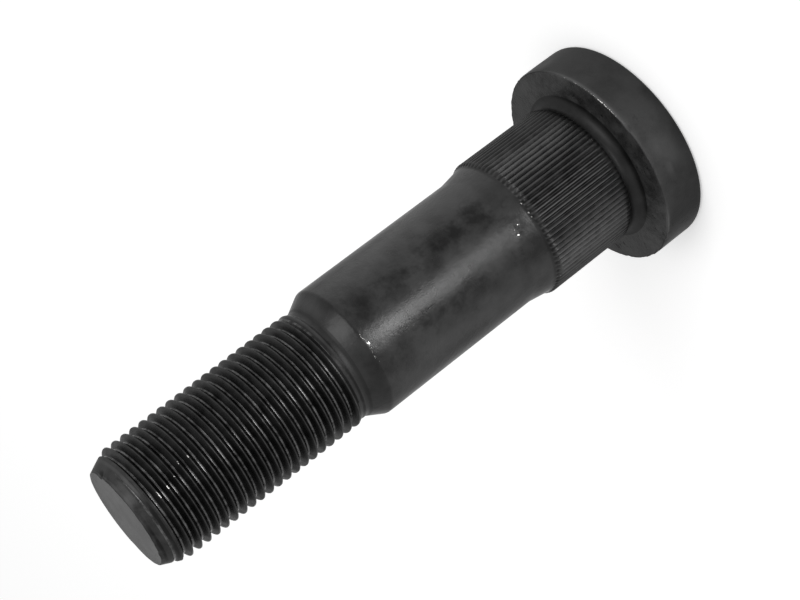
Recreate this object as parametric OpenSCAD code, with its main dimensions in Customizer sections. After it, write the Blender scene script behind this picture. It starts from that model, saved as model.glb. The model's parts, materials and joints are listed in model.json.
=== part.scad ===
// Wheel bolt with a knurled seat: a flat round head that bears on the back of the hub flange, a straight
// knurl pressed into the flange, a plain shank that carries the wheel and a fine thread for the wheel nut.
// It stands on its head: z = 0 is the head's outer face and +Z runs along the axis to the thread's point.
// All sizes are in millimetres.

/* [Head] */
// Diameter of the round head
head_d = 32.2; // [26:0.1:40]
// Thickness of the head
head_h = 7.1; // [4:0.1:12]
// Radius that rounds the edge of the head's outer face
head_edge_r = 0.8; // [0.2:0.1:2]
// Bevel on the edge of the head's underside
head_edge_bevel = 0.2; // [0.1:0.1:1]

/* [Undercut between head and knurl] */
// Diameter of the undercut
undercut_d = 20.8; // [18:0.1:21.4]
// Length from the head's underside to the knurl
undercut_l = 1.9; // [1.7:0.1:4]
// Radius of the fillet under the head
undercut_r = 1.5; // [0.5:0.1:1.6]

/* [Knurl] */
// Diameter over the crests of the knurl
knurl_d = 22.3; // [21.6:0.1:24]
// Length of the knurl
knurl_l = 15; // [8:0.5:25]
// Number of teeth round the knurl
knurl_teeth = 85; // [60:1:100]
// Depth of the grooves between the teeth
knurl_depth = 0.3; // [0.15:0.05:0.4]
// Length of the bevel on both ends of the teeth
knurl_bevel = 0.6; // [0.3:0.05:1]
// How far below the floor of the grooves those bevels begin
knurl_foot = 0.1; // [0.05:0.05:0.2]

/* [Shank] */
// Diameter of the plain shank
shank_d = 20.4; // [19:0.1:21]
// Length of the plain shank
shank_l = 26.6; // [10:0.1:50]
// Length of the cone that rises from the shank to the knurl
ramp_l = 3.3; // [2:0.1:6]
// Radius that eases the shank into that cone
ramp_r = 6; // [1:0.5:8]

/* [Neck] */
// Diameter of the smooth neck below the thread
neck_d = 17.3; // [16.5:0.1:17.6]
// Length of the neck
neck_l = 1.05; // [0.5:0.05:5]
// Length of the cone from the neck to the shank
shoulder_l = 2.75; // [2:0.05:5]
// Radius that rounds the shoulder's edge into the shank
shoulder_r = 1.2; // [0.5:0.1:4]
// Radius of the fillet between the neck and the shoulder
neck_r = 0.8; // [0.2:0.1:1.5]

/* [Thread] */
// Nominal diameter of the thread, over its crests
thread_d = 18; // [17.8:0.1:18.8]
// Length of the threaded end, with its point
thread_l = 33.3; // [15:0.1:60]
// Diameter of the flat face at the point
point_d = 15; // [10:0.1:17]
// Length of the cone at the point
point_l = 3.2; // [1:0.1:6]

/* [Hidden] */
$fn = 96;
steel = [0.15, 0.15, 0.16];

// Heights of the joints between the stretches, from the head's outer face up
knurl_z = head_h + undercut_l;
ramp_z = knurl_z + knurl_l;
shank_z = ramp_z + ramp_l;
shoulder_z = shank_z + shank_l;
neck_z = shoulder_z + shoulder_l;
thread_z = neck_z + neck_l;
tip_z = thread_z + thread_l;

// Each stretch runs this far into the next one, so that they join as one solid
lap = 0.2;
// The short cone where the last turn of the thread fades into the neck is as long as it is high
fade_l = (thread_d - neck_d) / 2;

// The knurl's teeth: radius at the floor of the grooves and where the bevels begin, angle of one tooth, and the
// shares of it that the crest and the floor take
knurl_root_r = knurl_d / 2 - knurl_depth;
knurl_foot_r = knurl_root_r - knurl_foot;
tooth_angle = 360 / knurl_teeth;
crest_share = 0.14;
floor_share = 0.14;

// Revolves an outline whose x is a radius and whose y is a height
module turned() {
    rotate_extrude() children();
}

// Half section from the axis out: a plain cylinder from z0 to z1
module bar(d, z0, z1) {
    translate([0, z0]) square([d / 2, z1 - z0]);
}

// Half section: a cone from diameter d0 at z0 to diameter d1 at z1
module taper(d0, z0, d1, z1) {
    polygon([[0, z0], [d0 / 2, z0], [d1 / 2, z1], [0, z1]]);
}

// Area between a corner and an arc of radius r that touches both of its sides. The corner is at p, and the
// two sides leave it at angles a and b (b more than a, and less than 180 degrees apart).
module corner_web(p, a, b, r) {
    half = (b - a) / 2;
    reach = r / tan(half);
    centre = p + r / sin(half) * [cos(a + half), sin(a + half)];
    difference() {
        polygon([p, p + reach * [cos(a), sin(a)], centre, p + reach * [cos(b), sin(b)]]);
        translate(centre) circle(r);
    }
}

// Flat round head with a rounded outer edge and a small bevel below
module head() {
    turned() difference() {
        bar(head_d, 0, head_h);
        corner_web([head_d / 2, 0], 90, 180, head_edge_r);
        polygon([[head_d / 2, head_h], [head_d / 2 - head_edge_bevel, head_h],
                 [head_d / 2, head_h - head_edge_bevel]]);
    }
}

// Undercut with the fillet that carries the head
module undercut() {
    turned() {
        bar(undercut_d, head_h - lap, knurl_z + lap);
        corner_web([undercut_d / 2, head_h], 0, 90, undercut_r);
    }
}

// One tooth's four corners, as points of the knurl's cross section: its crest, then the floor of the next groove
function tooth(i) = [
    for (c = [[knurl_d / 2, -crest_share / 2], [knurl_d / 2, crest_share / 2],
              [knurl_root_r, (1 - floor_share) / 2], [knurl_root_r, (1 + floor_share) / 2]])
        c[0] * [cos((i + c[1]) * tooth_angle), sin((i + c[1]) * tooth_angle)]
];

// Straight knurl, cut to a bevel at both ends
module knurl() {
    past_crest_r = knurl_d / 2 + lap;
    past_crest_l = knurl_bevel * (past_crest_r - knurl_foot_r) / (knurl_d / 2 - knurl_foot_r);
    intersection() {
        translate([0, 0, knurl_z]) linear_extrude(knurl_l)
            polygon([for (i = [0 : knurl_teeth - 1]) each tooth(i)]);
        turned() polygon([
            [0, knurl_z], [knurl_foot_r, knurl_z], [past_crest_r, knurl_z + past_crest_l],
            [past_crest_r, ramp_z - past_crest_l], [knurl_foot_r, ramp_z], [0, ramp_z]
        ]);
    }
}

// Plain shank: cone down from the knurl, eased into the cylinder, and a rounded shoulder to the neck
module shank() {
    ramp_angle = atan((knurl_foot_r - shank_d / 2) / ramp_l);
    shoulder_angle = atan((shank_d - neck_d) / 2 / shoulder_l);
    turned() difference() {
        union() {
            bar(2 * (knurl_foot_r - lap), ramp_z - lap, ramp_z);
            taper(2 * knurl_foot_r, ramp_z, shank_d, shank_z);
            bar(shank_d, shank_z, shoulder_z);
            taper(shank_d, shoulder_z, neck_d, neck_z);
            corner_web([shank_d / 2, shank_z], ramp_angle - 90, 90, ramp_r);
        }
        corner_web([shank_d / 2, shoulder_z], 90 + shoulder_angle, 270, shoulder_r);
    }
}

// Smooth neck with its fillet at the shoulder
module neck() {
    shoulder_angle = atan((shank_d - neck_d) / 2 / shoulder_l);
    turned() {
        bar(neck_d, neck_z - lap, thread_z + fade_l);
        corner_web([neck_d / 2, neck_z], shoulder_angle - 90, 90, neck_r);
    }
}

// Threaded end at its full diameter: it fades into the neck below and ends in a coned point
module threaded_end() {
    turned() {
        taper(neck_d, thread_z, thread_d, thread_z + fade_l);
        bar(thread_d, thread_z + fade_l, tip_z - point_l);
        taper(thread_d, tip_z - point_l, point_d, tip_z);
    }
}

// The whole bolt, forged and turned in one piece
module wheel_bolt() {
    color(steel) union() {
        head();
        undercut();
        knurl();
        shank();
        neck();
        threaded_end();
    }
}

wheel_bolt();
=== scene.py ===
import json
import math

import bpy
import numpy as np
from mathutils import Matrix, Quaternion, Vector


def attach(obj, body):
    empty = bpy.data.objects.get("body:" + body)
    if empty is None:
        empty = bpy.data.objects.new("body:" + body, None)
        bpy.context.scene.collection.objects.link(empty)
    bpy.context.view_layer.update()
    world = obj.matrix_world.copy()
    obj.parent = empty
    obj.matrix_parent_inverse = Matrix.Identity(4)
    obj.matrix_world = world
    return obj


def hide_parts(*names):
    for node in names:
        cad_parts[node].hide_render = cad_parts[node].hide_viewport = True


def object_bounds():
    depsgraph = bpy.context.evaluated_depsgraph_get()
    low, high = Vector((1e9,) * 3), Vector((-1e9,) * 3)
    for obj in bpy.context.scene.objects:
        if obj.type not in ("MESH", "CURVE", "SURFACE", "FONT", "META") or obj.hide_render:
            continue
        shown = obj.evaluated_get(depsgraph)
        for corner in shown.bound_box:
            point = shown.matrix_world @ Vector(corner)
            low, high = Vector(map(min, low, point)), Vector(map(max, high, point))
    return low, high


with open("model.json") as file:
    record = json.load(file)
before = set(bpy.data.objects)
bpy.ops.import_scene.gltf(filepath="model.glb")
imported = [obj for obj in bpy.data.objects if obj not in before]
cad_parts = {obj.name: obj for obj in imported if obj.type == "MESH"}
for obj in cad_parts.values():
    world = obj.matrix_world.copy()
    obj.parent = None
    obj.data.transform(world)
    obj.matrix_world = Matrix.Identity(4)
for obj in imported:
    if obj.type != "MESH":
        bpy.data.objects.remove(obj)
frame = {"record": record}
cadBox = [list(map(float, corner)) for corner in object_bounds()]
mounts = {mount["name"]: mount for mount in frame["record"]["mounts"]}
millimetre = 0.001  # in metres
print("frame loaded: the bolt is", round(cadBox[1][2] / millimetre, 1), "mm tall")


def linearColour(hexValue):
    # sRGB hex to linear: the low end is divided by 12.92, the rest is ((c + 0.055) / 1.055) to the power 2.4
    channels = [int(hexValue[i:i + 2], 16) / 255 for i in (1, 3, 5)]
    return (*[c / 12.92 if c <= 0.04045 else ((c + 0.055) / 1.055) ** 2.4 for c in channels], 1.0)


def addNode(tree, kind, inputs=None, **settings):
    # one node with its settings. An input is a number, a hex colour or the socket that is plugged into it,
    # under its name, or its place in the list where several share a name.
    node = tree.nodes.new(kind)
    for name, value in settings.items():
        setattr(node, name, value)
    for name, value in (inputs or {}).items():
        if isinstance(value, bpy.types.NodeSocket):
            tree.links.new(value, node.inputs[name])
        else:
            node.inputs[name].default_value = linearColour(value) if isinstance(value, str) else value
    return node


# The bolt's form, which the coat and the marks go on. Its overall box, the radii of thread, shank and knurl
# and the height of the head's seat come from the frame.
boltForm = {
    "headEdge": 0.8,
    "headBevel": 0.15,
    "undercutRadius": 10.4,
    "undercutLength": 1.9,
    "undercutFillet": 1.5,
    "knurlLength": 15.0,
    "knurlTeeth": 85,
    "knurlDepth": 0.3,
    "knurlBevel": 0.6,
    "knurlFoot": 0.1,
    "crestShare": 0.14,  # of one tooth
    "floorShare": 0.14,
    "rampLength": 3.3,
    "rampFillet": 6.0,
    "shankLength": 26.6,
    "shoulderLength": 2.75,
    "shoulderRadius": 1.2,
    "neckRadius": 8.65,
    "neckRing": 0.2,  # from the fillet at the neck's foot to the first turn
    "neckFillet": 0.8,
    "pointRadius": 7.5,
    "pointLength": 3.2,
    "pointEdge": 0.12,
    "pitch": 1.5,
    "threadDepth": 0.6134,  # share of the pitch
    "threadStart": 58.35,  # the last groove is shallow below this height
    "grooveRise": 0.9,  # and a whole one this far above it
    "shallowShare": 0.3,  # how deep the shallow groove is, as a share of a whole one
    "shallowRise": 0.6,  # from the ring below the thread to where the shallow groove is that deep
    "crestRise": 1.1,  # from that ring to where the crest is whole
    "crestShown": (0.6, 1),  # share of that rise from which a crest is marked as one
    "crestFade": 0.1,  # how near the point's cone a crest's mark fades
    "crestHeight": 0.77,  # height of one crest at angle 0, above a whole number of pitches
    "ringGap": 0.03,  # a climbing row that comes this near a level ring joins it
    "boxGap": 0.01,  # keeps the head inside the flat facets of the CAD's round one
}
tall = cadBox[1][2] / millimetre
headRadius = min(cadBox[1][:2]) / millimetre - boltForm["boxGap"]
headHeight = mounts["head_seat"]["pos_m"][2] / millimetre
threadRadius = mounts["thread"]["dims"]["r_mm"]
shankRadius = mounts["shank"]["dims"]["r_mm"]
knurlRadius = mounts["knurl"]["dims"]["r_mm"]


def smoothStep(low, high, x):
    # rises from 0 at low to 1 at high, as 3 t squared less 2 t cubed
    t = np.clip((x - low) / (high - low), 0, 1)
    return t * t * (3 - 2 * t)


def onLine(start, end, shares):
    # points at the given shares of the way from start to end, as radius and height
    shares = np.asarray(shares)[:, None]
    return np.array(start) * (1 - shares) + np.array(end) * shares


def onCorner(before, corner, after, radius, count):
    # arc that rounds a corner: its centre is on the bisector, radius / sin(half angle) from the corner, and
    # each point is the centre plus the radius along the direction turned evenly from the first tangent
    # point to the last
    before, corner, after = (np.array(p, float) for p in (before, corner, after))
    a = (before - corner) / np.linalg.norm(before - corner)
    b = (after - corner) / np.linalg.norm(after - corner)
    half = math.acos(a @ b) / 2
    centre = corner + (a + b) / np.linalg.norm(a + b) * radius / math.sin(half)
    first = corner + a * radius / math.tan(half) - centre
    last = corner + b * radius / math.tan(half) - centre
    turn = math.atan2(first[0] * last[1] - first[1] * last[0], first @ last)
    angle = math.atan2(first[1], first[0]) + turn * np.linspace(0, 1, count)
    return centre + radius * np.stack([np.cos(angle), np.sin(angle)], axis=1)


def boltColumns(form):
    # angles of the grid's columns: for each tooth of the knurl both edges of its crest and both edges of
    # the floor of the groove after it
    crest, floor = form["crestShare"], form["floorShare"]
    shares = np.array([-crest / 2, crest / 2, (1 - floor) / 2, (1 + floor) / 2])
    tooth = np.arange(form["knurlTeeth"])[:, None]
    return (2 * np.pi * (tooth + shares) / form["knurlTeeth"]).ravel()


def lowerOutline(form):
    # the outline as radius and height, from the head's outer face up to the neck, with the zone of each
    # stretch. A straight stretch has its first and last share and its number of points, and those shares
    # leave room for the rounded corners at its ends.
    bevel, edge, fillet = form["headBevel"], form["headEdge"], form["undercutFillet"]
    knurlZ = headHeight + form["undercutLength"]
    rampZ = knurlZ + form["knurlLength"]
    shankZ = rampZ + form["rampLength"]
    shoulderZ = shankZ + form["shankLength"]
    neckZ = shoulderZ + form["shoulderLength"]
    knurlRoot = knurlRadius - form["knurlDepth"]
    knurlFoot = knurlRoot - form["knurlFoot"]
    rim = (headRadius, 0), (headRadius, headHeight), (form["undercutRadius"], headHeight)
    ramp = (knurlFoot, rampZ), (shankRadius, shankZ), (shankRadius, shoulderZ), (form["neckRadius"], neckZ)
    tooth = [(knurlFoot, 0), (knurlRoot, form["knurlBevel"] / 4), (knurlRadius, form["knurlBevel"])]
    stretches = [
        ("headEnd", onLine((0, 0), rim[0], np.linspace(0.15, 1 - 1.2 * edge / headRadius, 7))),
        ("headSide", onCorner((0, 0), rim[0], rim[1], edge, 6)),
        ("headSide", onLine(rim[0], rim[1], np.linspace(0.22, 0.93, 12))),
        ("headSide", onCorner(rim[0], rim[1], rim[2], bevel, 5)),
        ("underside", onLine(rim[1], rim[2], np.linspace(0.08, 0.72, 21))),
        ("undercut", onCorner(rim[1], rim[2], (form["undercutRadius"], knurlZ), fillet, 9)),
        ("undercut", np.array([(form["undercutRadius"], knurlZ)])),
        ("knurl", np.array([(r, knurlZ + z) for r, z in tooth])),
        ("knurl", onLine((knurlRadius, knurlZ), (knurlRadius, rampZ), np.linspace(0.08, 0.92, 9))),
        ("knurl", np.array([(r, rampZ - z) for r, z in tooth[:0:-1]])),
        ("ramp", onLine(ramp[0], ramp[1], np.linspace(0, 0.75, 7))),
        ("ramp", onCorner(*ramp[:3], form["rampFillet"], 6)),
        ("shank", onLine(ramp[1], ramp[2], np.linspace(0.04, 0.96, 20))),
        ("shoulder", onCorner(*ramp[1:], form["shoulderRadius"], 10)),
        ("shoulder", onLine(ramp[2], ramp[3], np.linspace(0.3, 0.85, 5))),
        ("neck", onCorner(ramp[2], ramp[3], (form["neckRadius"], tall), form["neckFillet"], 5)),
    ]
    zones = [name for name, points in stretches for _ in points]
    return np.concatenate([points for _, points in stretches]), np.array(zones)


def upperOutline(form):
    # the outline from the point's edge to the centre of its flat face
    edge = form["pointRadius"], tall
    rounded = onCorner((threadRadius, tall - form["pointLength"]), edge, (0, tall), form["pointEdge"], 4)
    inside = onLine((0, tall), edge, np.linspace(0.96, 0.12, 9))
    return np.concatenate([rounded, inside]), np.array(["point"] * 4 + ["pointFace"] * len(inside))


def knurlCut(form, radius, height):
    # the grooves: radius is the lesser of the outline's and the tooth's, which is the crest radius at the
    # crest's two columns and the root radius at the floor's two
    knurlZ = headHeight + form["undercutLength"]
    inside = (height > knurlZ + 1e-6) & (height < knurlZ + form["knurlLength"] - 1e-6)
    root = knurlRadius - form["knurlDepth"]
    tooth = np.tile([knurlRadius, knurlRadius, root, root], form["knurlTeeth"])
    return np.where(inside, np.minimum(radius, tooth), radius)


# One pitch of the standard 60 degree thread, from crest to crest: share of the pitch, depth as a share of
# the full depth, and what the row begins. The crest is flat over an eighth of the pitch, and the root is
# rounded by the rolling.
threadProfile = [(0.045, 0, "threadCrest"), (0.085, 0.075, "threadFlank"), (0.23, 0.51, "threadFlank"),
                 (0.375, 0.93, "threadRoot"), (0.435, 1, "threadRoot"), (0.565, 1, "threadRoot"),
                 (0.625, 0.93, "threadUnderside"), (0.77, 0.51, "threadUnderside"),
                 (0.915, 0.075, "threadCrest"), (0.955, 0, "threadCrest")]


def threadGrid(form, columns, low, high):
    # helical rows: height is pitch times (turn + share + angle / 360), and the radius is the lesser of the
    # thread's and the point's cone. Heights outside low to high are held there, where the rows join the
    # rings below and above. The last results say which zone each row begins, where the cone cuts the
    # thread, and where there is a whole crest.
    share, depth = np.array([row[:2] for row in threadProfile]).T
    firstTurn = math.floor((low - form["crestHeight"]) / form["pitch"]) - 1
    turns = math.ceil((high - low) / form["pitch"]) + 3
    rowShare = (firstTurn + np.arange(turns)[:, None] + share).ravel()
    height = form["crestHeight"] + form["pitch"] * (rowShare[:, None] + columns / (2 * np.pi))
    height = np.clip(height, low, high)
    depth = np.tile(depth, turns)[:, None] * form["threadDepth"] * form["pitch"]
    rise = smoothStep(low, low + form["crestRise"], height)
    shallow = smoothStep(low, low + form["shallowRise"], height)
    whole = smoothStep(0, form["grooveRise"], height - form["threadStart"])
    groove = form["shallowShare"] * shallow + (1 - form["shallowShare"]) * whole
    radius = form["neckRadius"] + (threadRadius - form["neckRadius"]) * rise - depth * groove
    slope = (threadRadius - form["pointRadius"]) / form["pointLength"]
    cone = form["pointRadius"] + (tall - height) * slope
    crest = (depth == 0) * smoothStep(*form["crestShown"], rise)
    crest = crest * smoothStep(-form["crestFade"], form["crestFade"], cone - radius)
    zones = np.tile([row[2] for row in threadProfile], turns)
    return np.minimum(radius, cone), height, zones, radius > cone, crest


def ripple(angle, height, seed, waves, shortest, count=16):
    # unevenness between -1 and 1: a sum of cosines over 1.1 times the root of their count, each with a
    # whole number of waves round the bolt and its own wavelength along it, with phases drawn from one seed
    rng = np.random.default_rng(seed)
    total = np.zeros(np.broadcast(angle, height).shape)
    for _ in range(count):
        around = rng.integers(-waves, waves + 1)
        along = rng.uniform(-1, 1) / shortest
        total += np.cos(around * angle + 2 * np.pi * along * height + rng.uniform(0, 2 * np.pi))
    return np.clip(total / (1.1 * math.sqrt(count)), -1, 1)


def spots(angle, across, radius, places):
    # how far each vertex lies in a spot: the spot's strength times e to the minus (distance / size)
    # squared, the largest over all spots
    field = np.zeros(np.broadcast(angle, across).shape)
    for place, middle, sizeAround, sizeAcross, strength in places:
        turn = (angle - math.radians(place) + np.pi) % (2 * np.pi) - np.pi
        near = (turn * radius / sizeAround) ** 2 + ((across - middle) / sizeAcross) ** 2
        field = np.maximum(field, strength * np.exp(-near))
    return field


# What forging, rolling, handling and packing left, and where light and shade are painted on the coat. A
# place is an angle in degrees, a height, a size round the bolt, a size across and a strength, and the
# camera looks at the line at 270.
boltMarks = {
    # bright chips on the shoulder's edge
    "shoulderChips": [(272.8, 53.8, 0.25, 0.25, 0.95), (269.9, 53.78, 0.35, 0.25, 1.06),
                      (267.9, 53.7, 0.25, 0.2, 0.9), (265.8, 53.57, 0.4, 0.3, 0.94),
                      (264.0, 53.62, 0.3, 0.25, 0.92), (262.4, 53.51, 0.3, 0.3, 0.97),
                      (260.2, 53.65, 0.3, 0.25, 0.9), (257.3, 53.75, 0.35, 0.25, 0.96),
                      (253.2, 53.81, 0.4, 0.25, 1.0), (248.7, 53.47, 0.3, 0.25, 0.95),
                      (96, 53.7, 1.0, 0.35, 0.9), (101, 53.7, 0.6, 0.3, 0.95), (18, 53.7, 0.6, 0.25, 0.9)],
    # and on the cone below the knurl
    "rampChips": [(267.7, 27.98, 0.3, 0.25, 1.05), (268.5, 26.62, 0.3, 0.25, 1.0),
                  (266.6, 26.03, 0.35, 0.3, 1.05), (263.2, 26.2, 0.35, 0.25, 1.1),
                  (260.4, 26.91, 0.35, 0.3, 1.1), (265.0, 26.9, 0.3, 0.25, 0.9),
                  (203.4, 24.2, 0.3, 0.25, 0.9), (277.3, 24.05, 0.22, 0.2, 1.2),
                  (269.2, 24.05, 0.22, 0.22, 1.25), (265.4, 24.05, 0.22, 0.22, 1.25),
                  (70, 26.1, 0.6, 0.4, 0.85)],
    # on the ends of the knurl's teeth
    "toothStarts": [(271.1, 23.6, 0.2, 0.25, 1.1), (207.5, 23.6, 0.4, 0.3, 1.2),
                    (110.1, 23.6, 1.0, 0.3, 1.2), (283.8, 9.5, 0.3, 0.3, 1.1)],
    # chips on the thread's crests, which also paint glints there
    "crestNicks": [(269, 87.5, 0.9, 0.5, 1.2), (270, 86.0, 0.7, 0.5, 1.1), (280, 83.0, 0.3, 0.4, 1.4),
                   (280, 81.5, 0.3, 0.4, 1.35), (273.6, 84.4, 0.25, 0.4, 1.3), (297, 84.0, 0.2, 0.4, 1.25),
                   (239, 88.7, 0.4, 0.4, 1.0), (293, 60.7, 0.3, 0.4, 1.1), (284, 63.1, 0.4, 0.4, 1.0),
                   (266, 59.2, 0.5, 0.4, 1.0), (256, 66.5, 0.6, 0.5, 0.9), (100, 84.0, 0.8, 0.5, 1.1),
                   (60, 70.0, 0.6, 0.5, 1.0), (150, 76.0, 0.6, 0.5, 1.0)],
    # chips on the edge of the head's seat, drawn out along it, which also paint the thin highlight on that
    # edge
    "rimChips": [(284, 7.08, 1.6, 0.1, 1.0), (291, 7.08, 2.2, 0.1, 1.1), (298, 7.08, 2.2, 0.1, 0.9),
                 (308, 7.08, 3.5, 0.1, 0.75), (322, 7.08, 3.0, 0.1, 0.7), (120, 7.08, 2.5, 0.16, 0.9),
                 (62, 7.08, 1.4, 0.16, 0.9)],
    # where that edge and the head's side are rubbed, which also paints highlights on the edge and on the
    # front of the side
    "rimRubs": [(291, 7.0, 5.0, 0.3, 0.7), (312, 7.0, 4.5, 0.25, 0.6), (214, 7.0, 3.0, 0.2, 0.6)],
    "sideRubs": [(252, 3.2, 3.2, 1.7, 0.28), (244, 4.4, 1.6, 0.7, 0.26), (341, 5.0, 1.0, 1.4, 0.3),
                 (256, 4.6, 2.6, 1.4, 0.2), (100, 3.0, 3.4, 1.5, 0.25)],
    # lighter patches: dry ones in the coat, and painted light on the shoulder's left, the shank's sides, the
    # shank's highlight by the shoulder and the point's cone
    "dryPatches": [(258, 8.2, 2.4, 0.5, 0.12), (238, 7.6, 5.0, 0.4, 0.07), (322, 55.4, 4.6, 1.0, 0.3),
                   (265, 50.3, 1.8, 3.4, 0.12), (283, 90.3, 0.8, 0.4, 0.14), (318, 89.6, 3.4, 1.6, 0.14),
                   (286, 55.5, 3.0, 0.8, 0.04), (334, 46.0, 2.6, 8.0, 0.09), (222, 44.0, 4.0, 9.0, 0.06),
                   (110, 44.0, 5.0, 9.0, 0.08)],
    # where forging scale has pitted the head's seat; here the second number is a radius
    "seatPits": [(291.5, 13.6, 1.6, 0.8, 0.75), (283.0, 12.6, 0.9, 0.5, 1.0), (276.5, 13.4, 0.8, 0.5, 1.0),
                 (272.0, 13.9, 1.8, 0.7, 0.5), (263.0, 14.1, 1.6, 0.6, 0.5), (247.0, 14.4, 2.0, 0.7, 0.6),
                 (227.0, 14.4, 1.6, 0.6, 0.6), (313, 12.9, 1.1, 0.5, 0.7), (150, 13.9, 2.6, 0.9, 1.0),
                 (60, 14.2, 1.8, 0.9, 0.9), (104, 13.2, 2.0, 0.8, 0.9)],
    # dents in the point's cone, whose strength is their depth
    "pointDents": [(329.5, 90.9, 0.6, 0.5, 0.6), (316, 90.8, 0.5, 0.4, 0.28), (296, 90.95, 1.2, 0.3, 0.18),
                   (262, 91.0, 0.5, 0.35, 0.22), (248, 91.0, 0.7, 0.35, 0.2), (236, 91.0, 0.4, 0.3, 0.2),
                   (226, 91.0, 0.6, 0.35, 0.24), (213, 91.0, 0.5, 0.4, 0.26), (120, 90.7, 0.9, 0.5, 0.26)],
    # darker patches: oil in places, and elsewhere painted shade: the dark reflection down the shank's front,
    # a dimmed highlight on the ramp and the neck, a dark dent in the point and thin dark bands round the
    # neck and the point's cone
    "oilPatches": [(266, 26.6, 3.0, 2.0, 0.5), (204, 7.1, 5.5, 0.06, 0.5), (338, 7.1, 5.5, 0.06, 0.5),
                   (288, 57.5, 7.0, 0.2, 0.85), (268, 58.15, 4.0, 0.35, 0.5), (193, 3.5, 3.0, 3.0, 0.6),
                   (291, 89.05, 2.6, 0.2, 1.1), (262, 89.1, 3.4, 0.2, 1.1), (240, 89.2, 2.0, 0.18, 0.9),
                   (273, 90.4, 0.6, 0.4, 0.6), (329.5, 90.5, 0.7, 0.35, 0.9), (296, 30.4, 2.2, 1.9, 1.0),
                   (286, 29.6, 1.8, 1.6, 0.95), (293, 35.5, 1.7, 5.0, 0.85), (290, 44.5, 1.7, 4.0, 0.6),
                   (288, 51.0, 2.4, 1.8, 0.7), (249, 44.0, 1.6, 8.0, 0.45), (60, 36.0, 4.0, 8.0, 0.9),
                   (140, 46.0, 3.0, 5.0, 0.8)],
    # bands that run the whole thread at fixed angles round it: painted light on the flanks to one side, and
    # painted shade on the flanks to the other side and on roots and crests, which dims their lines of light
    "dryFlanks": [(324, 75, 4.2, 90, 0.22), (298, 75, 3.6, 90, 0.17)],
    "oilyFlanks": [(232, 75, 4.2, 90, 1.0), (212, 75, 4.0, 90, 1.0)],
    "oilyRoots": [(295, 75, 3.0, 90, 0.5)],
    "oilyCrests": [(294, 75, 2.6, 90, 0.75)],
    # unevenness: the seed of its phases, the most waves round the bolt and the shortest wave along it
    "sideRipple": (5, 6, 7.0),
    "rimRipple": (3, 110, 3.0),
    "rimSwell": (4, 24, 6.0),
    "pointRipple": (9, 26, 2.5),
    "faceRipple": (8, 3, 4.0),
    # and how deep it is
    "sideWaviness": 0.05,
    "rimRaggedness": 0.14,
    "endRoughness": 0.05,
    "pointRoughness": 0.05,
    # how far the coat is rubbed on the thread's crests, how much highlight is painted on the knurl's crests
    # and how much shade is painted in its grooves
    "crestRub": 0.12,
    "toothRub": 0.18,
    "grooveOil": 0.6,
    "chipDepth": 0.04,
    # the head's edge is ragged this far down, about a mean and with a swing, both shares of its depth
    "rimBand": 0.6,
    "rimEnd": 0.05,
    "raggedMean": 0.35,
    "raggedSwing": 0.9,
    "pointBand": 0.6,  # share of the point's cone that is uneven
    "pointEnd": 0.2,
}


def markBolt(form, marks, angle, radius, height, zone, crest):
    # lowers each zone's radius or height by its unevenness and dents, so that the bolt stays inside the
    # turned form, and says from 0 to 1 where the coat is rubbed and where light is painted on it, where it
    # is chipped and where highlights are painted, where it is oily and where shade is painted, and where
    # the forging scale has pitted it
    def inZone(*names):
        return np.isin(zone, names)[:, None] & np.ones(angle.shape, bool)

    rim = smoothStep(headHeight - marks["rimBand"], headHeight - marks["rimEnd"], height)
    rim = rim * inZone("headSide")
    ragged = ripple(angle, height, *marks["rimRipple"]) * ripple(angle, height, *marks["rimSwell"])
    ragged = np.clip(marks["raggedMean"] + marks["raggedSwing"] * ragged, 0, 1)
    wavy = 0.5 + 0.5 * ripple(angle, height, *marks["sideRipple"])
    shallow = marks["sideWaviness"] * wavy * inZone("headSide") + marks["rimRaggedness"] * ragged * rim
    point = smoothStep(tall - marks["pointBand"] * form["pointLength"], tall - marks["pointEnd"], height)
    # on the flat face the dents fade towards its middle, with the radius to the power 4
    point = point * np.where(inZone("pointFace"), (radius / form["pointRadius"]) ** 4, 1)
    rough = 0.5 + 0.5 * ripple(angle, height, *marks["pointRipple"])
    dents = spots(angle, height, radius, marks["pointDents"]) + marks["pointRoughness"] * rough
    rough = 0.5 + 0.5 * ripple(angle, radius, *marks["faceRipple"])
    face = inZone("pointFace") * marks["endRoughness"] * rough
    shankChips = spots(angle, height, radius, marks["shoulderChips"] + marks["rampChips"])
    chipped = np.maximum(shankChips, inZone("knurl") * spots(angle, height, radius, marks["toothStarts"]))
    chipped = np.maximum(chipped, rim * spots(angle, height, radius, marks["rimChips"]))
    chipped = np.maximum(chipped, crest * spots(angle, height, radius, marks["crestNicks"]))
    rubbed = inZone("headSide") * spots(angle, height, radius, marks["sideRubs"] + marks["rimRubs"])
    rubbed = rubbed + spots(angle, height, radius, marks["dryPatches"]) + crest * marks["crestRub"]
    # the knurl's crest columns get a painted highlight and its groove columns painted shade
    column = np.arange(angle.shape[1])[None, :] % 4
    tooth = np.where(column < 2, 1, -1.5) * inZone("knurl")  # a tooth's first two columns are its crest
    flank, root = inZone("threadFlank"), inZone("threadRoot")
    oily = spots(angle, height, radius, marks["oilPatches"])
    oily = oily + flank * spots(angle, height, radius, marks["oilyFlanks"])
    oily = oily + root * spots(angle, height, radius, marks["oilyRoots"])
    oily = oily + crest * spots(angle, height, radius, marks["oilyCrests"])
    # painted light on the thread's upper flanks to one side
    dry = flank * spots(angle, height, radius, marks["dryFlanks"])
    surface = {
        "rubbed": rubbed + tooth * marks["toothRub"] + dry,
        "chipped": chipped,
        "oily": oily + (tooth < 0) * marks["grooveOil"],
        "pitted": inZone("underside") * spots(angle, radius, radius, marks["seatPits"]),
    }
    radius = radius - shallow - marks["chipDepth"] * shankChips - point * dents
    return radius, height - face, surface


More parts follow.
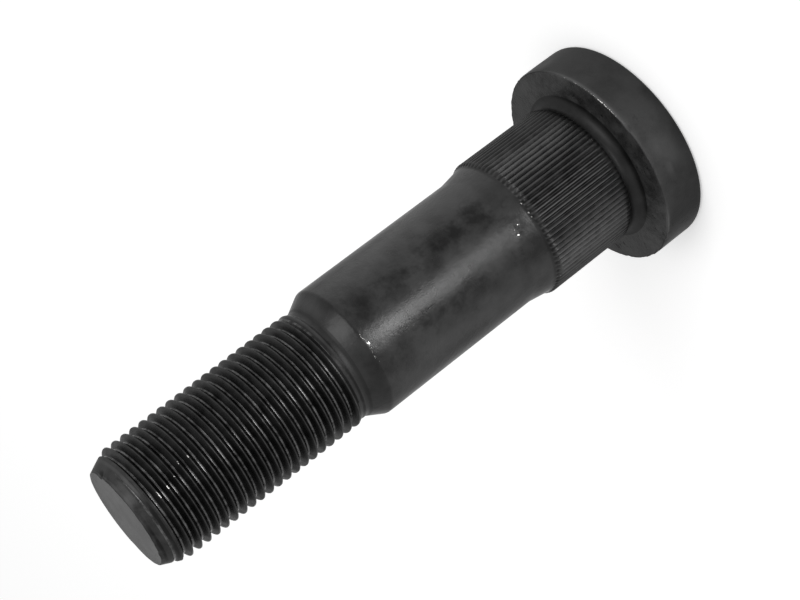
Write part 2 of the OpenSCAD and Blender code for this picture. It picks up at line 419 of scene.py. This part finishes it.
def bands(index, ahead):
    # quads between rows that follow each other: each runs on along its row and then up
    return np.stack([index[:-1], ahead[:-1], ahead[1:], index[1:]], axis=-1)


def buildBolt(form, marks):
    # two grids of angle by outline wrapped round the axis, where x and y are the radius times the angle's
    # cosine and sine: a fine one from the head to the neck, with columns for the knurl, and one with half
    # the columns for the thread and the point. The thread's rows climb one pitch a turn between two level
    # rings.
    fine = boltColumns(form)
    coarse = fine[::2]
    outline, lowerZones = lowerOutline(form)
    top, topZones = upperOutline(form)
    low, high = outline[-1, 1] + form["neckRing"], top[0, 1]
    threadRadii, threadHeights, threadZones, onCone, crest = threadGrid(form, coarse, low, high)
    ring = np.full((1, len(coarse)), low)
    lowerRadii = knurlCut(form, np.repeat(outline[:, :1], len(fine), axis=1), outline[:, 1:])
    topRadii, topHeights = np.repeat(top[:, :1], len(coarse), 1), np.repeat(top[:, 1:], len(coarse), 1)
    upperRadii = np.concatenate([ring * 0 + form["neckRadius"], threadRadii, topRadii])
    upperHeights = np.concatenate([ring, threadHeights, topHeights])
    upperZones = np.concatenate([["neck"], threadZones, topZones])
    crest = np.concatenate([ring * 0, crest, np.zeros((len(top), len(coarse)))])
    lower = markBolt(form, marks, *np.broadcast_arrays(fine, lowerRadii, outline[:, 1:]), lowerZones, 0)
    upper = markBolt(form, marks, *np.broadcast_arrays(coarse, upperRadii, upperHeights), upperZones, crest)

    below = np.arange(lowerRadii.size).reshape(lowerRadii.shape)
    above = np.arange(upperRadii.size).reshape(upperRadii.shape) + below.size
    rings, rows = above[[0, len(threadRadii) + 1]], above[1:len(threadRadii) + 1]
    rows = np.where(threadHeights < low + form["ringGap"], rings[0], rows)
    rows = np.where(threadHeights > high - form["ringGap"], rings[1], rows)
    ahead = np.roll(rows, -1, axis=1)
    ahead[:, -1] = rings[1, 0]
    ahead[:-len(threadProfile), -1] = rows[len(threadProfile):, 0]
    capped = above[len(threadRadii) + 1:]
    quads = [bands(below, np.roll(below, -1, axis=1)), bands(rows, ahead),
             bands(capped, np.roll(capped, -1, axis=1))]
    threadZones = np.where(onCone[1:] | onCone[:-1], "point", threadZones[:-1, None])
    threadZones = np.where(threadHeights[1:] < form["threadStart"], "neck", threadZones)
    quads = np.concatenate([quad.reshape(-1, 4) for quad in quads])
    quadZones = np.concatenate([np.repeat(lowerZones[1:], len(fine)), threadZones.ravel(),
                                np.repeat(topZones[1:], len(coarse))])

    # three triangles for each pair of fine columns where the two grids meet, and a fan at the middle of
    # each flat end
    left, middle, right = below[-1, ::2], below[-1, 1::2], np.roll(below[-1, ::2], -1)
    start, end = rings[0], np.roll(rings[0], -1)
    count = below.size + above.size
    fans = [(left, middle, start), (middle, end, start), (middle, right, end),
            (np.full(len(fine), count), np.roll(below[0], -1), below[0]),
            (above[-1], np.roll(above[-1], -1), np.full(len(coarse), count + 1))]
    triangles = np.concatenate([np.stack(fan, axis=1) for fan in fans])
    fanZones = np.repeat(["neck", "headEnd", "pointFace"], [3 * len(coarse), len(fine), len(coarse)])

    # where a climbing row meets a ring its corners fall together: three different ones make a triangle
    distinct = quads != np.roll(quads, -1, axis=1)
    kept = distinct.sum(axis=1)
    cut = quads[kept == 3][distinct[kept == 3]].reshape(-1, 3)
    faces = np.concatenate([quads[kept == 4].ravel(), cut.ravel(), triangles.ravel()])
    sizes = np.repeat([4, 3], [(kept == 4).sum(), len(cut) + len(triangles)])
    faceZones = np.concatenate([quadZones[kept == 4], quadZones[kept == 3], fanZones])
    angle = np.concatenate([np.tile(fine, len(below)), np.tile(coarse, len(above))])
    radius, height = [np.append(low, up) for low, up in zip(lower[:2], upper[:2])]
    points = np.stack([radius * np.cos(angle), radius * np.sin(angle), height], axis=-1)
    points = np.concatenate([points, [(0, 0, 0), (0, 0, height[-1])]])
    used, packed = np.unique(faces, return_inverse=True)
    surface = {}
    for key in lower[2]:
        surface[key] = np.concatenate([lower[2][key].ravel(), upper[2][key].ravel(), [0, 0]])[used]
    return points[used] * millimetre, packed, sizes, faceZones, surface


sharpAngle = 38  # degrees; edges that turn more than this stay crisp


def makePiece(name, points, corners, sizes, faceZones, materials, attributes):
    # a mesh from whole arrays: corners lists the faces' vertices one after another, sizes how many each
    # face has
    mesh = bpy.data.meshes.new(name)
    mesh.vertices.add(len(points))
    mesh.vertices.foreach_set("co", points.astype(np.float32).ravel())
    mesh.loops.add(len(corners))
    mesh.loops.foreach_set("vertex_index", corners.astype(np.int32))
    mesh.polygons.add(len(sizes))
    mesh.polygons.foreach_set("loop_start", np.concatenate([[0], np.cumsum(sizes)[:-1]]).astype(np.int32))
    slots = list(dict.fromkeys(materials.values()))
    for material in slots:
        mesh.materials.append(material)
    zones, place = np.unique(faceZones, return_inverse=True)
    slotOfZone = np.array([slots.index(materials[zone]) for zone in zones], np.int32)
    mesh.polygons.foreach_set("material_index", slotOfZone[place])
    for key, values in attributes.items():
        mesh.attributes.new(key, "FLOAT", "POINT").data.foreach_set("value", values.astype(np.float32))
    mesh.update(calc_edges=True)
    mesh.validate()
    mesh.shade_smooth()
    mesh.set_sharp_from_angle(angle=math.radians(sharpAngle))
    piece = bpy.data.objects.new(name, mesh)
    bpy.context.scene.collection.objects.link(piece)
    return piece


# Dark phosphate, oiled: a thin crystalline coat on steel that looks near black with a satin sheen. It is
# the same on every stretch of the bolt, over surfaces that were made in different ways. Sizes and heights
# are millimetres.
#   dark, light     colour of the coat, from oily to dry patches
#   metal           share of the steel that shines through the coat
#   rim             how much of the sheen is left where the surface turns away; a rough coat keeps less
#   roughness       its middle, and spread is how far oily and dry patches lie from it
#   patch, grain    sizes of the patches and of the crystals; real crystals are finer, and drawn coarser
#   bump, waves     heights of the grain and of the unevenness, which is a third of a patch in size
#   pits            0 to 1, how much of the surface the forging scale has pitted
coats = {
    # shank, shoulder and cone, ground to size before coating: smooth, so lamps draw a soft band on them
    "phosphateOnGroundSteel": {
        "dark": "#242424", "light": "#353535", "metal": 0.7, "rim": 0.5, "roughness": 0.31, "spread": 0.06,
        "patch": 3.6, "grain": 0.14, "bump": 0.006, "waves": 0.05, "pits": 0.0},
    # neck and undercut, turned and duller than the shank; its darker colour is painted shade that dims the
    # lamps' highlight there
    "phosphateOnTurnedNeck": {
        "dark": "#1c1c1c", "light": "#2c2c2c", "metal": 0.7, "rim": 0.55, "roughness": 0.42, "spread": 0.06,
        "patch": 3.6, "grain": 0.14, "bump": 0.006, "waves": 0.02, "pits": 0.0},
    # cone of the point, turned and then knocked about: dull, with small patches
    "phosphateOnTurnedPoint": {
        "dark": "#262626", "light": "#3a3a3a", "metal": 0.7, "rim": 0.5, "roughness": 0.45, "spread": 0.06,
        "patch": 2.0, "grain": 0.14, "bump": 0.006, "waves": 0.012, "pits": 0.0},
    # upper flanks of the rolled thread: dark and nearly matt
    "phosphateOnThreadFlank": {
        "dark": "#191919", "light": "#262626", "metal": 0.8, "rim": 0.8, "roughness": 0.48, "spread": 0.08,
        "patch": 1.6, "grain": 0.16, "bump": 0.012, "waves": 0.004, "pits": 0.0},
    # lower flanks, which face down: a darker copy of the flank's coat, painted shade under each turn so that
    # each turn stands out
    "phosphateOnThreadUnderside": {
        "dark": "#101010", "light": "#1c1c1c", "metal": 0.95, "rim": 0.6, "roughness": 0.45, "spread": 0.08,
        "patch": 1.6, "grain": 0.16, "bump": 0.012, "waves": 0.004, "pits": 0.0},
    # crests, smoothed by handling: thin bright lines
    "phosphateOnThreadCrest": {
        "dark": "#0f0f0f", "light": "#2c2c2c", "metal": 0.75, "rim": 0.6, "roughness": 0.3, "spread": 0.08,
        "patch": 0.8, "grain": 0.16, "bump": 0.006, "waves": 0.008, "pits": 0.0},
    # rounded roots, burnished by the rolling dies: a second, softer line of light
    "phosphateOnThreadRoot": {
        "dark": "#2a2a2a", "light": "#606060", "metal": 0.9, "rim": 0.6, "roughness": 0.25, "spread": 0.05,
        "patch": 0.8, "grain": 0.16, "bump": 0.004, "waves": 0.004, "pits": 0.0},
    # rolled teeth: satin crests over dark grooves
    "phosphateOnKnurl": {
        "dark": "#262626", "light": "#363636", "metal": 0.7, "rim": 0.4, "roughness": 0.36, "spread": 0.08,
        "patch": 2.6, "grain": 0.16, "bump": 0.01, "waves": 0.004, "pits": 0.0},
    # the head's forged skin: wavy and satin
    "phosphateOnForgedSteel": {
        "dark": "#262626", "light": "#3a3a3a", "metal": 0.7, "rim": 0.4, "roughness": 0.44, "spread": 0.08,
        "patch": 5.0, "grain": 0.3, "bump": 0.018, "waves": 0.02, "pits": 0.0},
    # the head's underside, left as forged: dry and paler, with dark pits where scale was
    "phosphateOnHeadSeat": {
        "dark": "#303030", "light": "#484848", "metal": 0.6, "rim": 0.6, "roughness": 0.48, "spread": 0.08,
        "patch": 1.8, "grain": 0.3, "bump": 0.03, "waves": 0.03, "pits": 0.075},
    # flat end of the thread, sheared off: matt and paler
    "phosphateOnShearedEnd": {
        "dark": "#272727", "light": "#4f4f4f", "metal": 0.0, "rim": 1.0, "roughness": 0.6, "spread": 0.06,
        "patch": 2.2, "grain": 0.3, "bump": 0.014, "waves": 0.02, "pits": 0.0},
}

# What oil, scale and wear make of the coat, and the painted shade, light and highlights that share their
# colours. Sizes are millimetres. Oil and painted shade, and chips and painted highlights, lie where the
# bolt's mark and a noise add up to the range, and an edge is how far the noise moves their border.
wornCoat = {
    # the colour of oil, also used for painted shade
    "oil": "#111111",
    "oilSize": 1.4,
    "oilEdge": 0.45,
    "oilRange": (0.2, 0.9),
    # the oil's colour here is also painted shade
    "oilMost": 0.8,  # share of the oil's colour where there is most of it
    "pit": "#1b1b1b",
    "pitSize": 0.8,
    "pitDepth": 0.045,
    "pitRange": (0.7, 0.8),  # the noise that pits the surface, less the coat's pits and the mark
    "scaleMost": 0.15,  # how many more pits there are where scale was
    # grey of rubbed coat, also used for painted light
    "rubbed": "#626262",
    # bright bare steel of chips, also used for painted highlights on the head's rim and the thread's crests
    "chip": "#cecdcb",
    "chipRoughness": 0.28,
    "chipSize": 0.17,
    "chipEdge": 0.5,
    "chipRange": (0.94, 1.0),
    "chipMost": 1.0,
    "widePatch": 2.4,  # patches lie in wider ones, this many times their size
    "patchRange": (0.8, 1.2),  # most of the sum of their two noises lies between these
    "noiseRange": (0.25, 0.75),  # and nearly all of a single noise between these
    "noiseRoughness": 0.6,
}


def steelCoat(name, coat, worn):
    # phosphated steel: oil and painted shade lie on it in darker patches, its plain patches change colour
    # and roughness, its crystals give a fine bump, pits of forging scale are dark and sunk, and where it is
    # worn it is rubbed grey and comes off in small bright chips; the same grey paints light on it and the
    # same bright steel paints highlights
    material = bpy.data.materials.new(name)
    material.use_nodes = True
    tree = material.node_tree
    tree.nodes.clear()

    # noises: the size of their main lumps, and how many times finer ones are added to them
    place = addNode(tree, "ShaderNodeTexCoord").outputs["Object"]
    lumps = {"widePatch": (worn["widePatch"] * coat["patch"], 2.0), "patch": (coat["patch"], 5.0),
             "wave": (coat["patch"] / 3, 3.0), "grain": (coat["grain"], 3.0), "oil": (worn["oilSize"], 3.0),
             "pit": (worn["pitSize"], 4.0), "chip": (worn["chipSize"], 2.0)}
    noise = {}
    for key, (size, detail) in lumps.items():
        inputs = {"Vector": place, "Scale": 1 / (size * millimetre), "Detail": detail,
                  "Roughness": worn["noiseRoughness"]}
        noise[key] = addNode(tree, "ShaderNodeTexNoise", inputs).outputs["Fac"]
    mark = {}
    for key in ("oily", "rubbed", "pitted", "chipped"):
        mark[key] = addNode(tree, "ShaderNodeAttribute", attribute_name=key).outputs["Fac"]

    # the plain coat's colour and roughness, from oily to dry patches
    patches = addNode(tree, "ShaderNodeMath", {0: noise["widePatch"], 1: noise["patch"]}, operation="ADD")
    low, high = worn["patchRange"]
    inputs = {"Value": patches.outputs[0], "From Min": low, "From Max": high}
    dry = addNode(tree, "ShaderNodeMapRange", inputs)
    inputs["To Min"] = coat["roughness"] - coat["spread"]
    inputs["To Max"] = coat["roughness"] + coat["spread"]
    roughness = addNode(tree, "ShaderNodeMapRange", inputs).outputs["Result"]
    inputs = {0: dry.outputs["Result"], 6: coat["dark"], 7: coat["light"]}
    colour = addNode(tree, "ShaderNodeMix", inputs, data_type="RGBA").outputs[2]

    # how much oil and painted shade, chip and painted highlight, and pit there is, from 0 to 1
    share = {"rubbed": mark["rubbed"]}
    for key, markKey in (("oil", "oily"), ("chip", "chipped")):
        low, high = worn["noiseRange"]
        inputs = {"Value": noise[key], "From Min": low, "From Max": high, "To Min": -worn[key + "Edge"],
                  "To Max": worn[key + "Edge"]}
        ragged = addNode(tree, "ShaderNodeMapRange", inputs).outputs["Result"]
        total = addNode(tree, "ShaderNodeMath", {0: mark[markKey], 1: ragged}, operation="ADD").outputs[0]
        low, high = worn[key + "Range"]
        inputs = {"Value": total, "From Min": low, "From Max": high, "To Max": worn[key + "Most"]}
        share[key] = addNode(tree, "ShaderNodeMapRange", inputs).outputs["Result"]
    if coat["pits"]:
        scaly = addNode(tree, "ShaderNodeMapRange", {"Value": mark["pitted"], "To Max": worn["scaleMost"]})
        inputs = {0: scaly.outputs["Result"], 1: noise["pit"]}
        total = addNode(tree, "ShaderNodeMath", inputs, operation="ADD").outputs[0]
        low, high = worn["pitRange"]
        inputs = {"Value": total, "From Min": low - coat["pits"], "From Max": high - coat["pits"]}
        share["pit"] = addNode(tree, "ShaderNodeMapRange", inputs).outputs["Result"]

    # their colours one over the other, and the bare steel's own roughness and metal
    for key in ("oil", "rubbed", "pit", "chip"):
        if key in share:
            inputs = {0: share[key], 6: colour, 7: worn[key]}
            colour = addNode(tree, "ShaderNodeMix", inputs, data_type="RGBA").outputs[2]
    inputs = {0: share["chip"], 2: roughness, 3: worn["chipRoughness"]}
    roughness = addNode(tree, "ShaderNodeMix", inputs, data_type="FLOAT").outputs[0]
    metal = addNode(tree, "ShaderNodeMapRange", {"Value": share["chip"], "To Min": coat["metal"]})

    # bumps one on the other, with their heights
    bumps = [(noise["wave"], coat["waves"]), (noise["grain"], coat["bump"])]
    if coat["pits"]:
        sunk = addNode(tree, "ShaderNodeMapRange", {"Value": share["pit"], "To Min": 1.0, "To Max": 0.0})
        bumps.insert(1, (sunk.outputs["Result"], worn["pitDepth"]))
    inputs = {"Strength": 1.0}
    for height, rise in bumps:
        inputs.update({"Height": height, "Distance": rise * millimetre})
        inputs["Normal"] = addNode(tree, "ShaderNodeBump", inputs).outputs["Normal"]
    inputs = {"Base Color": colour, "Roughness": roughness, "Metallic": metal.outputs["Result"],
              "Normal": inputs["Normal"], "Specular Tint": (coat["rim"], coat["rim"], coat["rim"], 1.0)}
    shader = addNode(tree, "ShaderNodeBsdfPrincipled", inputs)
    addNode(tree, "ShaderNodeOutputMaterial", {"Surface": shader.outputs["BSDF"]})
    return material


steels = {name: steelCoat(name, coat, wornCoat) for name, coat in coats.items()}
print("coats made:", len(steels))
zoneSteel = {
    "headEnd": steels["phosphateOnForgedSteel"],
    "headSide": steels["phosphateOnForgedSteel"],
    "underside": steels["phosphateOnHeadSeat"],
    "undercut": steels["phosphateOnTurnedNeck"],
    "knurl": steels["phosphateOnKnurl"],
    "ramp": steels["phosphateOnGroundSteel"],
    "shank": steels["phosphateOnGroundSteel"],
    "shoulder": steels["phosphateOnGroundSteel"],
    "neck": steels["phosphateOnTurnedNeck"],
    "threadCrest": steels["phosphateOnThreadCrest"],
    "threadFlank": steels["phosphateOnThreadFlank"],
    "threadUnderside": steels["phosphateOnThreadUnderside"],
    "threadRoot": steels["phosphateOnThreadRoot"],
    "point": steels["phosphateOnTurnedPoint"],
    "pointFace": steels["phosphateOnShearedEnd"],
}
points, corners, sizes, faceZones, surface = buildBolt(boltForm, boltMarks)
bolt = makePiece("bolt", points, corners, sizes, faceZones, zoneSteel, surface)
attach(bolt, "root")
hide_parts("wheel_bolt")
print("bolt built:", len(points), "vertices,", int((sizes - 2).sum()), "triangles")


# The studio: a floor and surroundings that are white where they are seen, low panels in front and beside
# the bolt, whose reflections draw the bands on shank, crests and knurl, and one large soft box above.
# Places and sizes are metres.
studio = {
    "floorColour": "#ededed",
    "floorGlow": 0.4,  # added to the lit floor where it is seen, so that it is white
    "floorRadius": 6.0,
    "floorCorners": 96,
    "skyPlain": 0.8,  # level of the light from all round
    "aim": (0, 0, 0.045),  # what the box above faces, the middle of the bolt
    "farPanel": {"place": (-0.023, -0.13, 0.0006), "size": (0.05, 0.046), "watts": 0.13},
    "nearPanel": {"place": (-0.016, -0.066, 0.0006), "size": (0.04, 0.082), "watts": 0.021},
    "lowPanel": {"place": (-0.035, -0.34, 0.0006), "size": (0.08, 0.22), "watts": 0.145},
    "leftPanel": {"place": (0.11, 0.01, 0.0006), "size": (0.1, 0.1), "watts": 0.035},
    "rightPanel": {"place": (-0.115, -0.005, 0.0006), "size": (0.08, 0.07), "watts": 0.012},
    "overhead": {"place": (0.42, -0.6, 0.75), "size": (0.6, 0.6), "watts": 3.4},
}


def seenWhite(tree):
    # 1 for what the camera, a reflection or glass shows, and 0 for the light that the surface or the sky
    # gives
    path = addNode(tree, "ShaderNodeLightPath").outputs
    seen = path["Is Camera Ray"]
    for ray in ("Is Glossy Ray", "Is Transmission Ray"):
        seen = addNode(tree, "ShaderNodeMath", {0: seen, 1: path[ray]}, operation="MAXIMUM").outputs[0]
    return seen


def makeFloor(values):
    # a flat disc of one face, whose corners lie evenly on a circle
    angle = np.linspace(0, 2 * np.pi, values["floorCorners"], endpoint=False)
    ring = values["floorRadius"] * np.stack([np.cos(angle), np.sin(angle), 0 * angle], axis=1)
    mesh = bpy.data.meshes.new("floor")
    mesh.from_pydata(ring.tolist(), [], [list(range(len(ring)))])
    floor = bpy.data.objects.new("floor", mesh)
    bpy.context.scene.collection.objects.link(floor)
    material = bpy.data.materials.new("whiteStudioPaper")
    material.use_nodes = True
    tree = material.node_tree
    tree.nodes.clear()
    paper = addNode(tree, "ShaderNodeBsdfDiffuse", {"Color": values["floorColour"]})
    inputs = {0: seenWhite(tree), 1: values["floorGlow"]}
    level = addNode(tree, "ShaderNodeMath", inputs, operation="MULTIPLY")
    glow = addNode(tree, "ShaderNodeEmission", {"Strength": level.outputs[0]})
    both = addNode(tree, "ShaderNodeAddShader", {0: paper.outputs[0], 1: glow.outputs[0]})
    addNode(tree, "ShaderNodeOutputMaterial", {"Surface": both.outputs[0]})
    mesh.materials.append(material)


def makeSky(values):
    # the world: white where it is seen, and a plain level for the light it gives
    world = bpy.data.worlds.new("studioWhite")
    bpy.context.scene.world = world
    world.use_nodes = True
    tree = world.node_tree
    tree.nodes.clear()
    level = addNode(tree, "ShaderNodeMapRange", {"Value": seenWhite(tree), "To Min": values["skyPlain"]})
    sky = addNode(tree, "ShaderNodeBackground", {"Strength": level.outputs["Result"]})
    addNode(tree, "ShaderNodeOutputWorld", {"Surface": sky.outputs["Background"]})


def makeLamp(name, values, aim):
    # a rectangular soft light that faces its aim; the camera doesn't see it
    light = bpy.data.lights.new(name, "AREA")
    light.shape = "RECTANGLE"
    light.size, light.size_y = values["size"]
    light.energy = values["watts"]
    lamp = bpy.data.objects.new(name, light)
    lamp.location = values["place"]
    lamp.rotation_euler = (Vector(aim) - Vector(values["place"])).to_track_quat("-Z", "Y").to_euler()
    lamp.visible_camera = False
    bpy.context.scene.collection.objects.link(lamp)


makeFloor(studio)
makeSky(studio)
for name in ("farPanel", "nearPanel", "lowPanel", "leftPanel", "rightPanel"):
    x, y, _ = studio[name]["place"]
    makeLamp(name, studio[name], (x, y, 1.0))  # lies on the floor and faces up
makeLamp("overheadBox", studio["overhead"], studio["aim"])
print("studio built")

# The camera of the photograph, found from the bolt's outline and the thread's pitch. The bolt stands
# upright here, so the camera is rolled until the thread points down to the left.
view = {
    "distance": 0.24088,  # metres from the bolt's axis
    "height": 0.13192,
    "aim": (0.00101, 0.0, 0.04261),
    "roll": 127.3,  # degrees, clockwise
    "lens": 83.61,
}
cameraData = bpy.data.cameras.new("camera")
cameraData.lens = view["lens"]
cameraData.sensor_width = 36
cameraData.sensor_fit = "HORIZONTAL"
cameraData.clip_start = 0.01
cameraData.clip_end = 100
camera = bpy.data.objects.new("camera", cameraData)
camera.location = (0, -view["distance"], view["height"])
look = (Vector(view["aim"]) - camera.location).to_track_quat("-Z", "Y")
camera.rotation_mode = "QUATERNION"
camera.rotation_quaternion = look @ Quaternion((0, 0, 1), -math.radians(view["roll"]))
bpy.context.scene.collection.objects.link(camera)
bpy.context.scene.camera = camera
bpy.context.scene.view_settings.view_transform = "Standard"
